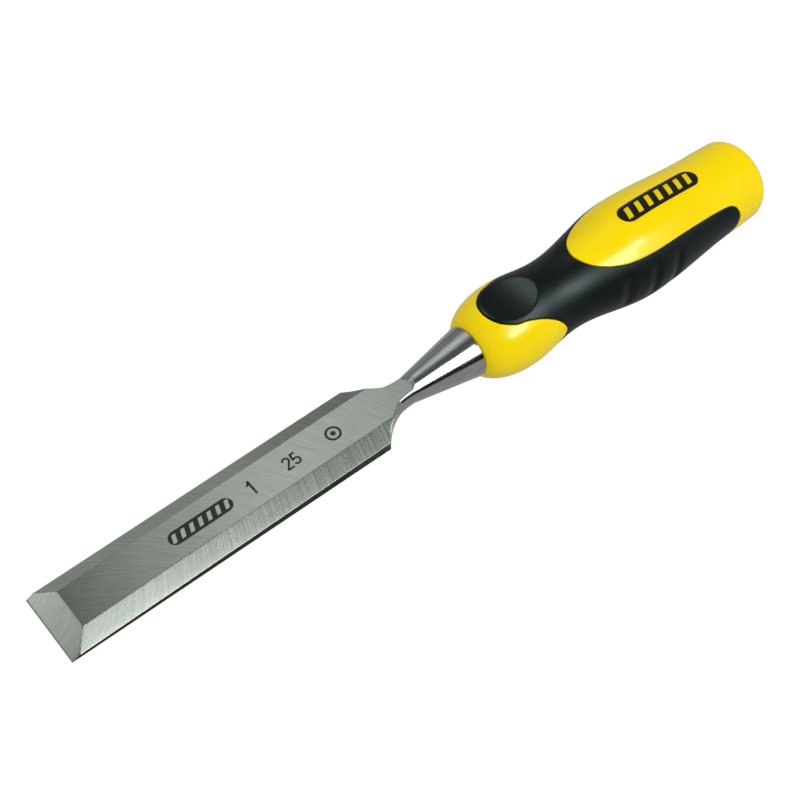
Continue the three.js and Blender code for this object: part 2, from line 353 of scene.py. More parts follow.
def half_section(x):
    """Right half of the section at x, from the middle of the back to the middle of the top.

    It is the forging's outline as far as the grinding cuts it, then the side bevel, if there is one
    at x, and the flat. Its two ground edges are eased."""
    half, low, high, corner = forged_section(x)
    top = min(ground_height(x, 0), high)
    if x <= BLADE_LENGTH:
        corner = min(corner, MOST_EASED * (top - low))
    back = np.linspace((0, low), (half - corner, low), BACK_POINTS, endpoint=False)
    lower = arc((half - corner, low + corner), corner, -90, 0, CORNER_POINTS)
    upper = arc((half - corner, high - corner), corner, 0, 90, FORGED_TOP_POINTS)
    side_top = SIDE_HEIGHT + TAPER * x

    def ground(y):
        bevels = side_top + (BLADE_WIDTH / 2 - y) * BEVEL_SLOPE
        flat = np.minimum(ground_height(x, y), high)
        return np.minimum(flat, bevels) if x < BEVEL_END_X else flat

    rising = cut_below(np.vstack([lower[-1:], upper, [(0, high)]]), ground)
    side_end = rising[-1]
    bevel_end = np.array([BLADE_WIDTH / 2 - (top - side_top) / BEVEL_SLOPE, top])
    middle = np.array([0, top])
    has_bevel = x < BEVEL_END_X and bevel_end[0] < side_end[0] - SAME_POINT
    side_ease = eased_corner(rising[-2], side_end, bevel_end if has_bevel else middle)
    if side_end[0] < SAME_POINT:
        side_ease = np.repeat(side_end[None], EASE_POINTS, 0)
    side = resampled(np.vstack([rising[:-1], side_ease[:1]]), SIDE_POINTS)[1:-1]
    if has_bevel:
        bevel_ease = eased_corner(side_ease[-1], bevel_end, middle)
    else:
        bevel_ease = np.repeat(side_ease[-1:], EASE_POINTS, 0)
    bevel = np.linspace(side_ease[-1], bevel_ease[0], BEVEL_POINTS)[1:-1]
    flat = np.linspace(bevel_ease[-1], middle, FLAT_POINTS)[1:]
    if x >= BEVEL_END_X:
        flat[:, 1] = ground(flat[:, 0])
    return np.vstack([back, lower, side, side_ease, bevel, bevel_ease, flat])


def full_ring(x, half):
    """Whole section at x as 3-D points, from its right half."""
    left = half[-2:0:-1] * (-1, 1)
    outline = np.vstack([half, left])
    return np.column_stack([np.full(len(outline), x), outline])


def box_half_section(width, height):
    """Right half of the tang's rounded rectangle, with as many points as half_section."""
    inner = width / 2 - TANG_CORNER
    low, high = AXIS_HEIGHT - height / 2, AXIS_HEIGHT + height / 2
    back = np.linspace((0, low), (inner, low), BACK_POINTS, endpoint=False)
    lower = arc((inner, low + TANG_CORNER), TANG_CORNER, -90, 0, CORNER_POINTS)
    upper = arc((inner, high - TANG_CORNER), TANG_CORNER, 0, 90, CORNER_POINTS)
    count = len(half_section(BLADE_LENGTH / 2)) - len(back) - len(lower)
    rest = resampled(np.vstack([lower[-1:], upper, [(0, high)]]), count + 1)[1:]
    return np.vstack([back, lower, rest])


def blade_stations():
    """x of every ring of the blade, close together where its shape changes."""
    runout_start = grind_end(NECK_RADIUS / 2) - RUNOUT_LEAD
    runout_end = GRIND_END_X + RUNOUT_TRAIL
    sweep = (TOP_FLAT_WIDTH / 2 - NECK_RADIUS) / (BLADE_WIDTH / 2 - NECK_RADIUS)
    bevel_vanish = lerp(BLADE_LENGTH, NECK_X, 1 - sweep ** (1 / SHOULDER_SWEEP))
    edge = EDGE_EASE
    return np.concatenate([
        [CUTTING_LAND / CUT_SLOPE],
        TIP_STATIONS,
        [SIDE_START_X - edge, SIDE_START_X, SIDE_START_X + edge],
        np.linspace(SIDE_START_X + 1, FLAT_START_X - edge, 6),
        np.linspace(FLAT_START_X + edge, BLADE_LENGTH - edge, 24),
        np.linspace(BLADE_LENGTH + edge, bevel_vanish - edge, 16),
        np.linspace(bevel_vanish, runout_start, 26),
        np.linspace(runout_start + edge, runout_end, 26),
        np.linspace(runout_end + BOLSTER_EDGE, BOLSTER_END_X - BOLSTER_EDGE, 30),
    ])


def bolster_edge_rings():
    """Rings round the bolster's eased rear edge."""
    middle = np.array([0, AXIS_HEIGHT])
    section = half_section(BOLSTER_END_X - BOLSTER_EDGE)
    rings = []
    for turn in np.radians([30, 60, 90]):
        x = BOLSTER_END_X - BOLSTER_EDGE * (1 - math.sin(turn))
        shrink = 1 - BOLSTER_EDGE * (1 - math.cos(turn)) / BOLSTER_RADIUS
        rings.append(full_ring(x, lerp(middle, section, shrink)))
    return rings


def build_blade(materials):
    """Blade, neck, bolster and tang in one piece, with a material for each kind of face."""
    stations = blade_stations()
    rings = [full_ring(x, half_section(x)) for x in stations]
    rings += bolster_edge_rings()
    rings.append(full_ring(BOLSTER_END_X, box_half_section(*TANG_ROOT)))
    rings.append(full_ring(TANG_END_X, box_half_section(*TANG_TIP)))
    half_count = len(half_section(BLADE_LENGTH / 2))

    def material_of(row, column):
        x = stations[min(row + 1, len(stations) - 1)]
        y = rings[row][column][1]
        right = column < half_count - 1
        # Number of the face's edge in half_section, on whichever side the face is.
        place = column if right else 2 * (half_count - 1) - column - 1
        if place >= BEVEL_END and x <= grind_end(y) + EDGE_EASE:
            return CUTTING if x < FLAT_START_X else FLAT
        if place >= SIDE_END and x <= NECK_X:
            return UPPER_BEVEL if right else LOWER_BEVEL
        if x > BLADE_LENGTH + EDGE_EASE:
            return POLISHED
        return BACK if place < BACK_END else SIDE

    mesh = grid_mesh("blade_steel", rings, material_of=material_of, close_ends=True)
    keep_planes_flat(add_piece("blade_steel", mesh, materials, "blade"))


# ---- Handle and grip --------------------------------------------------------------------

def handle_radius(x):
    """Radius of the handle's surface at x, up to where the butt's rounding starts."""
    x = np.asarray(x, float)
    first_x, first_radius = HANDLE_STATIONS[0]
    across = np.clip((first_x - x) / (first_x - HANDLE_VERTEX_X), 0, 1)
    radius = lerp(HANDLE_LIP, first_radius, np.sqrt(1 - across ** 2))
    knots = HANDLE_STATIONS + [(BUTT_X - BUTT_EDGE, BUTT_RADIUS)]
    for (x0, r0), (x1, r1) in zip(knots, knots[1:]):
        eased = (1 - np.cos(np.pi * np.clip((x - x0) / (x1 - x0), 0, 1))) / 2
        radius = np.where(x > x0, lerp(r0, r1, eased), radius)
    return radius


def smooth_through(points, steps):
    """Smooth curve through points that meets its own mirror image smoothly at each end."""
    points = np.array(points, float)
    before = 2 * points[:1] * (1, 0) - points[1:2] * (1, -1)
    after = 2 * points[-1:] * (1, 0) - points[-2:-1] * (1, -1)
    padded = np.vstack([before, points, after])
    t = np.linspace(0, 1, steps, endpoint=False)[:, None]
    spans = []
    for a, b, c, d in zip(padded, padded[1:], padded[2:], padded[3:]):
        leave, arrive = (c - a) / 2, (d - b) / 2
        cubic = 2 * b - 2 * c + leave + arrive
        square = 3 * c - 3 * b - 2 * leave - arrive
        spans.append(cubic * t ** 3 + square * t ** 2 + leave * t + b)
    return np.vstack(spans + [points[-1:]])


def edge_loop(quarter):
    """An edge of the grip all the way round, as (arc length, x) on the unrolled handle."""
    arc_per_degree = math.radians(GRIP_MEAN_RADIUS)
    curve = smooth_through([(degrees * arc_per_degree, x) for degrees, x in quarter], steps=24)
    curve = resampled(curve, GRIP_COLUMNS // 4 + 1)
    half_turn = 180 * arc_per_degree
    back = curve[-2::-1] * (-1, 1) + (half_turn, 0)
    half = np.vstack([curve, back])
    return np.vstack([half[:-1], half[:-1] + (half_turn, 0)])


def loop_sides(loop):
    """Unit vectors square to the loop on the unrolled handle, pointing to the butt."""
    whole_turn = (2 * math.pi * GRIP_MEAN_RADIUS, 0)
    before = np.vstack([loop[-1:] - whole_turn, loop[:-1]])
    after = np.vstack([loop[1:], loop[:1] + whole_turn])
    along = after - before
    along /= np.hypot(*along.T)[:, None]
    return np.column_stack([-along[:, 1], along[:, 0]])


def wrap(unrolled, radius):
    """3-D points from places on the unrolled handle and their radii."""
    angle = unrolled[:, 0] / GRIP_MEAN_RADIUS
    radius = np.broadcast_to(radius, angle.shape)
    return np.column_stack([
        unrolled[:, 1], -radius * np.sin(angle), AXIS_HEIGHT + radius * np.cos(angle),
    ])


FRONT_LOOP = edge_loop(GRIP_FRONT_EDGE)
REAR_LOOP = edge_loop(GRIP_REAR_EDGE)
FRONT_SIDE = loop_sides(FRONT_LOOP)
REAR_SIDE = loop_sides(REAR_LOOP)


def seam_rows(loop, side, direction, deepest):
    """Rows from the handle's surface over a seam's rounded edge to the bottom of its wall.

    The direction is 1 for the side of the seam towards the butt, and -1 for the other."""
    rows = []
    for turn in np.linspace(0, math.pi / 2, SEAM_ROWS):
        distance = HALF_GAP + SEAM_EASE * (1 - math.sin(turn))
        depth = SEAM_EASE * (1 - math.cos(turn))
        place = loop + direction * distance * side
        rows.append(wrap(place, handle_radius(place[:, 1]) - depth))
    place = loop + direction * HALF_GAP * side
    rows.append(wrap(place, handle_radius(place[:, 1]) - deepest))
    return rows


def tang_hole_rows(turn):
    """Rows of the hole for the tang, from its far end to the handle's front."""
    rows = []
    for x, (width, height) in ((TANG_END_X + TANG_GAP, TANG_TIP), (HANDLE_FRONT_X, TANG_ROOT)):
        place = np.column_stack([turn, np.full(len(turn), x)])
        angle = turn / GRIP_MEAN_RADIUS
        across = (width / 2 + TANG_GAP) / np.maximum(np.abs(np.sin(angle)), TINY)
        up = (height / 2 + TANG_GAP) / np.maximum(np.abs(np.cos(angle)), TINY)
        if not rows:
            rows.append(wrap(place, 0))
        rows.append(wrap(place, np.minimum(across, up)))
    return rows


def spread_evenly(loop, share):
    """Arc positions between the loop's own and evenly spaced ones."""
    even = np.arange(len(loop)) * (2 * math.pi * GRIP_MEAN_RADIUS / len(loop))
    return lerp(loop[:, 0], even, share)


def surface_rows(start, end, shares, depth=0):
    """Rows at a depth under the handle's surface, between two rows of unrolled places."""
    places = [lerp(start, end, share) for share in shares]
    return [wrap(place, handle_radius(place[:, 1]) - depth) for place in places]


def butt_rows(butt):
    """Rows of the butt's rounded edge and flat face, from where its rounding starts."""
    rows = []
    for turn in np.linspace(0, math.pi / 2, BUTT_EDGE_ROWS)[1:]:
        place = butt + (0, BUTT_EDGE * math.sin(turn))
        rows.append(wrap(place, BUTT_RADIUS - BUTT_EDGE * (1 - math.cos(turn))))
    for share in np.linspace(1, 0, BUTT_FACE_ROWS)[1:]:
        rows.append(wrap(butt + (0, BUTT_EDGE), (BUTT_RADIUS - BUTT_EDGE) * share))
    return rows


def build_handle(material):
    """Yellow handle: the tang's hole, the bulb, the pocket for the grip, the shell and the butt."""
    lip_turn = spread_evenly(FRONT_LOOP, share=0.5)
    lip = np.column_stack([lip_turn, np.full(GRIP_COLUMNS, HANDLE_FRONT_X)])
    butt_turn = spread_evenly(REAR_LOOP, share=0.6)
    butt = np.column_stack([butt_turn, np.full(GRIP_COLUMNS, BUTT_X - BUTT_EDGE)])
    front_edge = FRONT_LOOP - SEAM_REACH * FRONT_SIDE
    rear_edge = REAR_LOOP + SEAM_REACH * REAR_SIDE
    front_wall = FRONT_LOOP - HALF_GAP * FRONT_SIDE
    rear_wall = REAR_LOOP + HALF_GAP * REAR_SIDE
    pocket_shares = np.linspace(0, 1, POCKET_ROWS)[1:-1]
    rows = tang_hole_rows(lip_turn)
    rows += surface_rows(lip, front_edge, np.linspace(0, 1, BULB_ROWS)[:-1] ** 2)
    rows += seam_rows(FRONT_LOOP, FRONT_SIDE, -1, POCKET_DEPTH)
    rows += surface_rows(front_wall, rear_wall, pocket_shares, POCKET_DEPTH)
    rows += seam_rows(REAR_LOOP, REAR_SIDE, 1, POCKET_DEPTH)[::-1]
    rows += surface_rows(rear_edge, butt, np.linspace(0, 1, SHELL_ROWS)[1:])
    rows += butt_rows(butt)
    mesh = grid_mesh("yellow_handle", rows)
    return add_piece("yellow_handle", mesh, [material], "handle_core")


def thumb_rest_radius(angle, x):
    """Radius at which a line out from the handle's axis meets the thumb rest's dish."""
    sizes = ("length", "width", "height")
    half_length, half_width, half_height = (THUMB_REST[size] / 2 for size in sizes)
    centre = handle_radius(THUMB_REST["x"]) + half_height - THUMB_REST["depth"]
    room = 1 - ((x - THUMB_REST["x"]) / half_length) ** 2
    square = (np.sin(angle) / half_width) ** 2 + (np.cos(angle) / half_height) ** 2
    middle = np.cos(angle) * centre / half_height ** 2
    rest = (centre / half_height) ** 2 - room
    inside = middle ** 2 - square * rest
    hit = (middle - np.sqrt(np.maximum(inside, 0))) / square
    return np.where((inside > 0) & (np.cos(angle) > 0), hit, np.inf)


def groove_depth(angle, x):
    """Depth of the shallow finger grooves on both flanks of the grip."""
    off_flank = (np.degrees(np.abs(angle)) - 90) / GROOVE["spread"]
    reach = smoothstep(GROOVE["fade"] - np.abs(off_flank))
    depth = np.zeros_like(x)
    for centre in FINGER_GROOVES_X:
        along = (x - centre) / GROOVE["width"]
        along = np.where(along > 0, GROOVE["rear_slope"] * along, along)
        depth = np.maximum(depth, np.exp(-along ** 2))
    return GROOVE["depth"] * reach * depth


def grip_radius(place):
    """Radius of the grip's outside, with its thumb rest and finger grooves."""
    x = place[:, 1]
    angle = (place[:, 0] / GRIP_MEAN_RADIUS + math.pi) % (2 * math.pi) - math.pi
    radius = handle_radius(x) - groove_depth(angle, x)
    ease = THUMB_REST["ease"]
    dish = np.minimum(thumb_rest_radius(angle, x), radius + ease)
    blend = np.clip(0.5 + 0.5 * (radius - dish) / ease, 0, 1)
    return lerp(radius, dish, blend) - ease * blend * (1 - blend) / 2


def build_grip(material):
    """Black sleeve in the handle's pocket, level with the yellow at both of its seams."""
    front_edge = FRONT_LOOP + SEAM_REACH * FRONT_SIDE
    rear_edge = REAR_LOOP - SEAM_REACH * REAR_SIDE
    front_wall = FRONT_LOOP + HALF_GAP * FRONT_SIDE
    rear_wall = REAR_LOOP - HALF_GAP * REAR_SIDE
    places = [lerp(front_edge, rear_edge, share) for share in np.linspace(0, 1, GRIP_ROWS)]
    inside_shares = np.linspace(0, 1, GRIP_INSIDE_ROWS)[1:-1]
    rows = [wrap(place, grip_radius(place)) for place in places]
    rows += seam_rows(REAR_LOOP, REAR_SIDE, -1, GRIP_THICKNESS)[1:]
    rows += surface_rows(rear_wall, front_wall, inside_shares, GRIP_THICKNESS)
    rows += seam_rows(FRONT_LOOP, FRONT_SIDE, 1, GRIP_THICKNESS)[:0:-1]
    mesh = grid_mesh("rubber_grip", rows, joined=True)
    return add_piece("rubber_grip", mesh, [material], "soft_grip")


# ---- Marks ------------------------------------------------------------------------------

def on_blade(x, y, lift):
    """Point at a height above the blade's flat."""
    return np.array([x, y, TIP_THICKNESS + TAPER * x + lift])


def on_handle(x, offset, lift):
    """Point at a height above the handle, at an arc length from the handle's top."""
    radius = float(handle_radius(x))
    angle = -offset / radius
    reach = radius + lift
    return np.array([x, -reach * math.sin(angle), AXIS_HEIGHT + reach * math.cos(angle)])


def stadium_patch(name, surface, mark, material):
    """Thin printed patch with round ends, laid on a surface."""
    half_width = mark["width"] / 2
    straight = mark["length"] / 2 - half_width
    turns = np.linspace(-math.pi / 2, math.pi / 2, PATCH_END_ROWS)
    end = straight + half_width * np.sin(turns)
    start = -end[::-1]
    middle = np.linspace(start[-1], end[0], PATCH_ROWS)[1:-1]
    along = np.unique(np.round(np.concatenate([start, middle, end]), 6))
    rows = []
    for u in along:
        over = max(abs(u) - straight, 0)
        reach = math.sqrt(max(half_width ** 2 - over ** 2, 0))
        across = np.linspace(-reach, reach, PATCH_COLUMNS)
        top = [surface(mark["x"] + u, v, INK) for v in across]
        bottom = [surface(mark["x"] + u, v, -INK / 2) for v in across[::-1]]
        rows.append(top + bottom)
    add_piece(name, grid_mesh(name, rows), [material])


def flat_ring(name, centre_x, inner, outer, material):
    """Thin printed ring, or a dot where inner is 0, on the blade's flat."""
    corners = [(inner, INK), (outer, INK), (outer, -INK / 2), (inner, -INK / 2)]
    rows = []
    for turn in np.linspace(0, 2 * math.pi, RING_POINTS, endpoint=False):
        rows.append([
            on_blade(centre_x + radius * math.cos(turn), radius * math.sin(turn), lift)
            for radius, lift in corners
        ])
    add_piece(name, grid_mesh(name, rows, joined=True), [material])


def stroke(points, width):
    """Rows of a flat stroke of constant width along a line of 2-D points."""
    along = np.gradient(points, axis=0)
    along /= np.hypot(*along.T)[:, None]
    side = np.column_stack([-along[:, 1], along[:, 0]]) * width / 2
    left, right = points + side, points - side
    corners = [(left, INK), (right, INK), (right, -INK / 2), (left, -INK / 2)]
    return np.stack([np.column_stack([edge, np.full(len(edge), z)]) for edge, z in corners], 1)


# Strokes of the figures, and their other measures, with the height of a figure as 1.
FIGURE_STROKES = {
    "1": [[(0.02, 0.74), (0.15, 0.79), (0.24, 0.93)], [(0.24, 1), (0.24, 0.5), (0.24, 0)]],
    "2": [
        np.vstack([arc((0.27, 0.72), 0.215, 175, -35, 16), [(0.06, 0.08)]]),
        [(0.0, 0.055), (0.25, 0.055), (0.51, 0.055)],
    ],
    "5": [
        [(0.07, 0.945), (0.25, 0.945), (0.46, 0.945)],
        [(0.12, 0.97), (0.09, 0.7), (0.06, 0.47)],
        arc((0.26, 0.33), 0.235, 146, -155, 20),
    ],
}
FIGURE_ADVANCE = 0.63
FIGURE_GAP = 0.1
FIGURE_STROKE = 0.14


def printed_figures(name, digits, centre_x, height, material):
    """Plain size figures, read along the blade."""
    first_x = centre_x - height * (FIGURE_ADVANCE * len(digits) - FIGURE_GAP) / 2
    pieces = bmesh.new()
    for index, digit in enumerate(digits):
        for line in FIGURE_STROKES[digit]:
            rows = stroke(np.array(line) * height, FIGURE_STROKE * height)
            rows[:, :, 0] += first_x + index * FIGURE_ADVANCE * height
            rows[:, :, 1] -= height / 2
            rows[:, :, 2] += TIP_THICKNESS + TAPER * rows[:, :, 0]
            part = grid_mesh(name, rows, close_ends=True)
            pieces.from_mesh(part)
            bpy.data.meshes.remove(part)
    mesh = bpy.data.meshes.new(name)
    pieces.to_mesh(mesh)
    pieces.free()
    add_piece(name, mesh, [material])


# ---- Materials --------------------------------------------------------------------------

# Range that nearly all of a noise texture's values lie in.
NOISE_LOW = 0.3
NOISE_HIGH = 0.7


class Surface:
    """A material whose nodes are added one by one round a Principled shader."""

    def __init__(self, name, **values):
        self.material = bpy.data.materials.new(name)
        self.material.use_nodes = True
        self.tree = self.material.node_tree
        self.shader = self.tree.nodes["Principled BSDF"]
        for key, value in values.items():
            self.shader.inputs[key.replace("_", " ")].default_value = value

    def add(self, kind, settings=None, **inputs):
        """New node. An input is given by its name, or by i and its number."""
        node = self.tree.nodes.new("ShaderNode" + kind)
        for key, value in (settings or {}).items():
            setattr(node, key, value)
        for key, value in inputs.items():
            number = key[1:]
            socket = int(number) if number.isdigit() else key.replace("_", " ")
            self.feed(node.inputs[socket], value)
        return node

    def feed(self, socket, value):
        if isinstance(value, bpy.types.NodeSocket):
            self.tree.links.new(value, socket)
        else:
            socket.default_value = value

    def shade(self, name, value):
        self.feed(self.shader.inputs[name], value)

    def place(self):
        """Place in the tool's frame, in mm."""
        return self.add("Attribute", {"attribute_name": TOOL_PLACE}).outputs["Vector"]

    def noise(self, vector, scale, detail=3, roughness=0.5):
        return self.add(
            "TexNoise", None, Vector=vector, Scale=scale, Detail=detail, Roughness=roughness,
        ).outputs["Fac"]

    def mathematics(self, operation, a, b=0.0):
        return self.add("Math", {"operation": operation}, i0=a, i1=b).outputs[0]

    def span(self, value, low, high, start=NOISE_LOW, end=NOISE_HIGH):
        """Value mapped from start..end to low..high, and held at those limits."""
        return self.add(
            "MapRange", None, Value=value, From_Min=start, From_Max=end, To_Min=low, To_Max=high,
        ).outputs[0]

    def mix(self, share, a, b):
        return self.add("Mix", {"data_type": "RGBA"}, Factor=share, i6=a, i7=b).outputs[2]

    def bump(self, height, distance, strength=1.0):
        """Normal of a relief that is distance mm deep."""
        return self.add(
            "Bump", None, Height=height, Distance=distance * MM, Strength=strength,
        ).outputs["Normal"]


def rgb(red, green, blue):
    return (red, green, blue, 1)


def rgb_scaled(color, factor):
    return rgb(*(channel * factor for channel in color[:3]))


BLACK = rgb(0, 0, 0)
WHITE = rgb(1, 1, 1)


def grind_marks(surface, wheel, fine, long):
    """Coordinates that draw noise out along arcs round a grinding wheel's centre, at (x, y).

    The marks are about fine mm wide and long mm long."""
    parts = surface.add("SeparateXYZ", None, Vector=surface.place())
    offset_x = surface.mathematics("SUBTRACT", parts.outputs[0], wheel[0])
    offset_y = surface.mathematics("SUBTRACT", parts.outputs[1], wheel[1])
    across = surface.mathematics("SQRT", surface.mathematics(
        "ADD",
        surface.mathematics("MULTIPLY", offset_x, offset_x),
        surface.mathematics("MULTIPLY", offset_y, offset_y),
    ))
    angle = surface.mathematics("ARCTAN2", offset_y, offset_x)
    along = surface.mathematics("MULTIPLY", angle, math.hypot(*wheel) / long)
    vector = surface.add("CombineXYZ", None, X=surface.mathematics("DIVIDE", across, fine), Y=along)
    return vector.outputs[0]


GROUND_STEEL_COLOR = rgb(0.415, 0.452, 0.41)
GRIND_RELIEF = 0.004


def ground_steel(name, wheel, roughness=0.22, contrast=0.22):
    """Steel face ground by a wheel whose centre lies at (x, y) in the tool's frame."""
    surface = Surface(name, Metallic=1.0, Anisotropic=0.3)
    narrow_marks = grind_marks(surface, wheel, fine=0.24, long=6)
    broad_marks = grind_marks(surface, wheel, fine=0.42, long=14)
    narrow = surface.noise(narrow_marks, scale=1.0, detail=2, roughness=0.6)
    broad = surface.noise(broad_marks, scale=1.0, roughness=0.6)
    cloud = surface.noise(surface.place(), scale=0.05, detail=2)
    streaks = surface.mix(0.5, narrow, broad)
    tone = surface.mix(0.15, streaks, cloud)
    dark = rgb_scaled(GROUND_STEEL_COLOR, 1 - contrast)
    light = rgb_scaled(GROUND_STEEL_COLOR, 1 + contrast)
    surface.shade("Base Color", surface.mix(
        surface.span(tone, 0, 1, start=0.36, end=0.64), dark, light))
    surface.shade("Roughness", surface.span(streaks, roughness - 0.03, roughness + 0.04))
    surface.shade("Normal", surface.bump(streaks, GRIND_RELIEF))
    return surface.material


def polished_steel():
    """Smooth forged steel, buffed along its length."""
    surface = Surface("polished_steel", Metallic=1.0)
    place = surface.place()
    drawn = surface.add("VectorMath", {"operation": "MULTIPLY"}, i0=place, i1=(0.08, 1.2, 1.2))
    lines = surface.noise(drawn.outputs[0], scale=1.0)
    cloud = surface.noise(place, scale=0.12, detail=2)
    surface.shade("Base Color", surface.mix(
        surface.span(lines, 0, 1), rgb(0.36, 0.38, 0.37), rgb(0.46, 0.48, 0.47)))
    surface.shade("Roughness", surface.span(cloud, 0.09, 0.17))
    surface.shade("Normal", surface.bump(lines, distance=0.02, strength=0.35))
    return surface.material


def blade_materials():
    """The blade's materials, in the order of its material slots."""
    return [
        ground_steel("back_steel", (-40, -200)),
        ground_steel("side_steel", (0, -900), roughness=0.3),
        ground_steel("lower_bevel_steel", (-1.5, 12.6), roughness=0.27, contrast=0.2),
        ground_steel("upper_bevel_steel", (-1.5, -12.6)),
        ground_steel("flat_steel", (-21, -61), contrast=0.2),
        ground_steel("cutting_bevel_steel", (-32, 146)),
        polished_steel(),
    ]


def yellow_plastic():
    """Glossy moulded plastic, very slightly rippled."""
    surface = Surface("yellow_plastic", IOR=1.5, Specular_IOR_Level=0.2)
    place = surface.place()
    cloud = surface.noise(place, scale=0.06)
    ripple = surface.noise(place, scale=0.35, detail=2)
    speck = surface.noise(place, scale=5.0, detail=2)
    surface.shade("Base Color", surface.mix(
        surface.span(cloud, 0, 1), rgb(0.94, 0.69, 0.0), rgb(0.98, 0.73, 0.0)))
    surface.shade("Roughness", surface.span(speck, 0.17, 0.22))
    surface.shade("Normal", surface.bump(ripple, distance=0.02, strength=0.4))
    return surface.material


def black_rubber():
    """Satin moulded rubber with a fine spark-eroded grain."""
    surface = Surface("black_rubber", IOR=1.5, Specular_IOR_Level=0.15, Specular_Tint=rgb(0.8, 1, 1))
    place = surface.place()
    cloud = surface.noise(place, scale=0.08)
    grain = surface.noise(place, scale=2.2, detail=4, roughness=0.65)
    surface.shade("Base Color", surface.mix(
        surface.span(cloud, 0, 1), rgb(0.001, 0.003, 0.003), rgb(0.003, 0.006, 0.0055)))
    surface.shade("Roughness", surface.span(grain, 0.34, 0.46))
    surface.shade("Normal", surface.bump(grain, distance=0.04, strength=0.6))
    return surface.material


def barred_ink(name, mark, ink, bar, roughness):
    """Ink patch with a row of plain slanted bars."""
    surface = Surface(name, Roughness=roughness, Specular_IOR_Level=0.2)
    parts = surface.add("SeparateXYZ", None, Vector=surface.place())
    across = surface.mathematics("ABSOLUTE", parts.outputs[1])
    along = surface.mathematics("SUBTRACT", parts.outputs[0], mark["x"])
    lean = surface.mathematics("MULTIPLY", parts.outputs[1], BARS["lean"])
    slanted = surface.mathematics("ADD", along, lean)
    pitch = mark["width"] * BARS["pitch"]
    off_centre = surface.mathematics("PINGPONG", surface.mathematics("DIVIDE", slanted, pitch), 0.5)
    row_reach = (BARS["each_side"] + 0.5) * pitch
    in_bar = surface.mathematics("LESS_THAN", off_centre, BARS["share"] / 2)
    in_height = surface.mathematics("LESS_THAN", across, mark["width"] * BARS["height"] / 2)
    in_row = surface.mathematics("LESS_THAN", surface.mathematics("ABSOLUTE", slanted), row_reach)
    shown = surface.mathematics("MULTIPLY", in_bar, in_height)
    shown = surface.mathematics("MULTIPLY", shown, in_row)
    worn = surface.noise(surface.place(), scale=1.5)
    inked = surface.mix(surface.span(worn, 0, 1), ink, rgb_scaled(ink, 1.6))
    surface.shade("Base Color", surface.mix(shown, inked, bar))
    surface.shade("Normal", surface.bump(worn, distance=0.01, strength=0.4))
    return surface.material


def etched_ink():
    """Dark etched mark on steel."""
    surface = Surface("etched_mark")
    worn = surface.noise(surface.place(), scale=2.0)
    surface.shade("Base Color", surface.mix(
        surface.span(worn, 0, 1), rgb(0.012, 0.016, 0.012), rgb(0.03, 0.035, 0.03)))
    surface.shade("Roughness", surface.span(worn, 0.45, 0.6))
    return surface.material


def floor_paper():
    """Pale sheet that gives off enough light of its own to stay white in the tool's shadow."""
    surface = Surface("pale_floor", Roughness=0.9, Specular_IOR_Level=0.1, Emission_Color=WHITE,
                      Emission_Strength=0.9)
    cloud = surface.noise(surface.add("TexCoord").outputs["Object"], scale=0.6, detail=2)
    surface.shade("Base Color", surface.mix(cloud, rgb(0.22, 0.22, 0.22), rgb(0.24, 0.24, 0.24)))
    return surface.material


# ---- Stage, light and camera ------------------------------------------------------------

# Camera: its angles in degrees and its distance and target in mm, all in the tool's frame, its
# lens and sensor in mm, and the nearest distance that it sees, in metres.
CAMERA = {
    "lean_back": 22.72, "swing": 31.0, "roll": 33.19, "distance": 424.24, "target_x": 125.78,
    "target_z": 0.7, "lens": 61.3, "sensor": 36, "clip_start": 0.01,
}

FLOOR_RADIUS = 6

# Colours of the surroundings, as (height of the direction, colour).
SKY = [(0.1, rgb(0.46, 0.47, 0.46)), (0.85, rgb(0.15, 0.16, 0.155))]

# Turns of a card that lies flat, and of one that stands across the bench.
LEVEL = (0, 0, 0)
UPRIGHT = (math.radians(90), 0, 0)


def build_camera():
    """Camera over the tip's right side, rolled so that the tool runs up to the right."""
    lean, swing, roll = (math.radians(CAMERA[key]) for key in ("lean_back", "swing", "roll"))
    back = Vector((-math.sin(lean), -math.cos(lean) * math.sin(swing), math.cos(lean) * math.cos(swing)))
    level = (Vector((1, 0, 0)) - back.x * back).normalized()
    square = back.cross(level)
    right = math.cos(roll) * level - math.sin(roll) * square
    up = math.sin(roll) * level + math.cos(roll) * square
    place = Vector((CAMERA["target_x"], 0, CAMERA["target_z"])) + CAMERA["distance"] * back
    turn = TOOL_TO_BENCH.to_3x3().normalized() @ Matrix((right, up, back)).transposed()
    data = bpy.data.cameras.new("camera")
    data.sensor_width = CAMERA["sensor"]
    data.lens = CAMERA["lens"]
    data.clip_start = CAMERA["clip_start"]
    camera = bpy.data.objects.new("camera", data)
    camera.matrix_world = Matrix.Translation(TOOL_TO_BENCH @ place) @ turn.to_4x4()
    bpy.context.scene.collection.objects.link(camera)
    bpy.context.scene.camera = camera


def facing(place, aim_x):
    """Rotation that turns something at a place towards the point x = aim_x on the bench."""
    return (Vector(place) - Vector((aim_x, 0, 0))).to_track_quat("Z", "Y").to_euler()


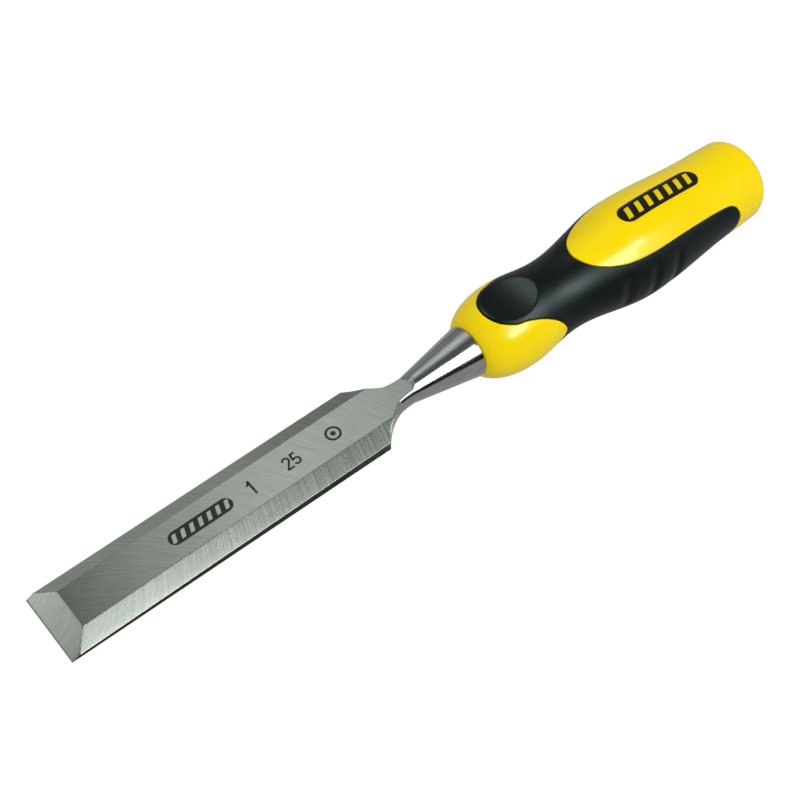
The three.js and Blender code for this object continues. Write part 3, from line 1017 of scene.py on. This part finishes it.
def softbox(name, place, aim_x, size, radiance, scattered=True, reflected=True, only=None):
    """Area light of a given brightness and (width, height), facing a point on the bench.

    It lights surfaces where scattered is true, is mirrored in them where reflected is true, and
    lights one piece alone where only names it."""
    width, height = size
    data = bpy.data.lights.new(name, "AREA")
    data.shape = "RECTANGLE"
    data.size = width
    data.size_y = height
    data.energy = radiance * math.pi * width * height
    lamp = bpy.data.objects.new(name, data)
    lamp.location = place
    lamp.rotation_euler = facing(place, aim_x)
    lamp.visible_diffuse = scattered
    lamp.visible_glossy = reflected
    if only:
        lit = bpy.data.collections.new(name + "_lights")
        lit.objects.link(only)
        lamp.light_linking.receiver_collection = lit
    bpy.context.scene.collection.objects.link(lamp)


def build_floor():
    """Round floor that the camera sees, but that throws no light onto the tool."""
    shape = bmesh.new()
    bmesh.ops.create_circle(shape, cap_ends=True, segments=96, radius=FLOOR_RADIUS)
    mesh = bpy.data.meshes.new("floor")
    shape.to_mesh(mesh)
    shape.free()
    mesh.materials.append(floor_paper())
    floor = bpy.data.objects.new("floor", mesh)
    floor.visible_glossy = False
    floor.visible_diffuse = False
    bpy.context.scene.collection.objects.link(floor)


def reflected_card(name, material, place, turn, size):
    """Card that is seen only in reflections, as a studio's black, grey and white cards are."""
    shape = bmesh.new()
    bmesh.ops.create_grid(shape, x_segments=1, y_segments=1, size=1)
    mesh = bpy.data.meshes.new(name)
    shape.to_mesh(mesh)
    shape.free()
    mesh.materials.append(material)
    card = bpy.data.objects.new(name, mesh)
    card.scale = (size[0] / 2, size[1] / 2, 1)
    card.rotation_euler = turn
    card.location = place
    card.visible_camera = False
    card.visible_diffuse = False
    card.visible_shadow = False
    bpy.context.scene.collection.objects.link(card)


def even_card(name, place, turn, size, radiance):
    """Card of one brightness all over."""
    surface = Surface(name, Roughness=1.0, Base_Color=BLACK, Emission_Color=WHITE,
                      Emission_Strength=radiance)
    reflected_card(name, surface.material, place, turn, size)


def glow_card(name, place, aim_x, width, radiance):
    """Card whose light fades out smoothly from its middle, adding to what is behind it."""
    surface = Surface(name)
    local = surface.add("TexCoord").outputs["Object"]
    middle = surface.add("TexGradient", {"gradient_type": "SPHERICAL"}, Vector=local).outputs["Fac"]
    fade = surface.add("MapRange", {"interpolation_type": "SMOOTHSTEP"}, Value=middle, To_Max=radiance)
    light = surface.add("Emission", None, Strength=fade.outputs[0])
    clear = surface.add("BsdfTransparent")
    both = surface.add("AddShader", None, i0=light.outputs[0], i1=clear.outputs[0])
    surface.feed(surface.tree.nodes["Material Output"].inputs["Surface"], both.outputs[0])
    reflected_card(name, surface.material, place, facing(place, aim_x), (width, width))


def build_sky():
    """Pale surroundings, brighter near the horizon than overhead."""
    world = bpy.data.worlds.new("studio")
    bpy.context.scene.world = world
    world.use_nodes = True
    tree = world.node_tree
    background = tree.nodes["Background"]
    direction = tree.nodes.new("ShaderNodeTexCoord")
    parts = tree.nodes.new("ShaderNodeSeparateXYZ")
    ramp = tree.nodes.new("ShaderNodeValToRGB")
    for element, (height, color) in zip(ramp.color_ramp.elements, SKY):
        element.position = height
        element.color = color
    tree.links.new(direction.outputs["Generated"], parts.inputs[0])
    tree.links.new(parts.outputs[2], ramp.inputs[0])
    tree.links.new(ramp.outputs[0], background.inputs["Color"])


def build_stage():
    """Floor, surroundings, lamps and cards, with the colours left as they are rendered."""
    build_floor()
    build_sky()
    softbox("key", (0.4, -0.9, 0.81), aim_x=0.4, size=(1.1, 0.7), radiance=3.2)
    softbox("key_middle", (-0.04, -0.82, 0.88), aim_x=0, size=(0.24, 0.9), radiance=3.9)
    softbox("wash", (0, 0.6, 1.35), aim_x=0, size=(1.5, 1.5), radiance=0.8, reflected=False)
    glow_card("glow_top", (0.034, 0.19, 0.35), aim_x=0.01, width=0.42, radiance=0.82)
    glow_card("glow_tip", (-0.269, 0.131, 0.108), aim_x=-0.136, width=0.14, radiance=0.95)
    even_card("card_horizon", (0.05, -1.0, 0.24), UPRIGHT, size=(1.6, 0.44), radiance=0)
    even_card("card_bench", (0, 0, -0.004), LEVEL, size=(6, 6), radiance=0.45)
    even_card("card_under", (-0.083, 0, -0.002), LEVEL, size=(0.125, 0.052), radiance=0.04)
    even_card("card_far", (0.5, 1.0, 0.15), UPRIGHT, size=(0.55, 0.5), radiance=0.26)
    settings = bpy.context.scene.view_settings
    settings.view_transform = "Standard"
    settings.look = "None"


def light_core(core):
    """Soft fill on the yellow handle alone, and the lamps that make its two highlights."""
    softbox("core_fill", (-0.15, 1.0, 0.6), aim_x=0.05, size=(0.9, 0.8), radiance=1.15,
            reflected=False, only=core)
    softbox("core_front", (-0.8, -0.35, 0.6), aim_x=0.05, size=(0.7, 0.7), radiance=1.2,
            reflected=False, only=core)
    softbox("shell_glint", (0.178, -0.36, 0.5), aim_x=0.07, size=(0.24, 0.15), radiance=17,
            scattered=False, only=core)
    softbox("bulb_glint", (0.089, -0.41, 0.319), aim_x=0.02, size=(0.2, 0.13), radiance=22,
            scattered=False, only=core)


def light_grip(grip):
    """Lamps that make the grip's sheen and the light in its thumb rest."""
    softbox("grip_sheen", (0.486, -0.524, 0.622), aim_x=0.05, size=(0.5, 0.3), radiance=20,
            scattered=False, only=grip)
    softbox("dish_light", (-0.02, 0.5, 0.95), aim_x=0.04, size=(0.3, 0.4), radiance=16,
            scattered=False, only=grip)


# ---- Assembly ---------------------------------------------------------------------------

build_camera()
build_stage()
build_blade(blade_materials())
CORE = build_handle(yellow_plastic())
GRIP = build_grip(black_rubber())
light_core(CORE)
light_grip(GRIP)

LABEL_INK = barred_ink(
    "label_ink", LABEL, ink=rgb(0.010, 0.008, 0.005), bar=rgb(0.92, 0.70, 0.0), roughness=0.35)
stadium_patch("handle_label", on_handle, LABEL, LABEL_INK)
PATCH_INK = barred_ink(
    "patch_ink", BLADE_PATCH, ink=rgb(0.02, 0.025, 0.02), bar=rgb(0.42, 0.46, 0.42), roughness=0.45)
stadium_patch("blade_patch", on_blade, BLADE_PATCH, PATCH_INK)
ETCHED = etched_ink()
flat_ring("blade_ring", BLADE_RING["x"], BLADE_RING["inner"], BLADE_RING["outer"], ETCHED)
flat_ring("blade_dot", BLADE_RING["x"], 0, BLADE_RING["dot"], ETCHED)
for name, digits, x, height in FIGURES:
    printed_figures(name, digits, x, height, ETCHED)
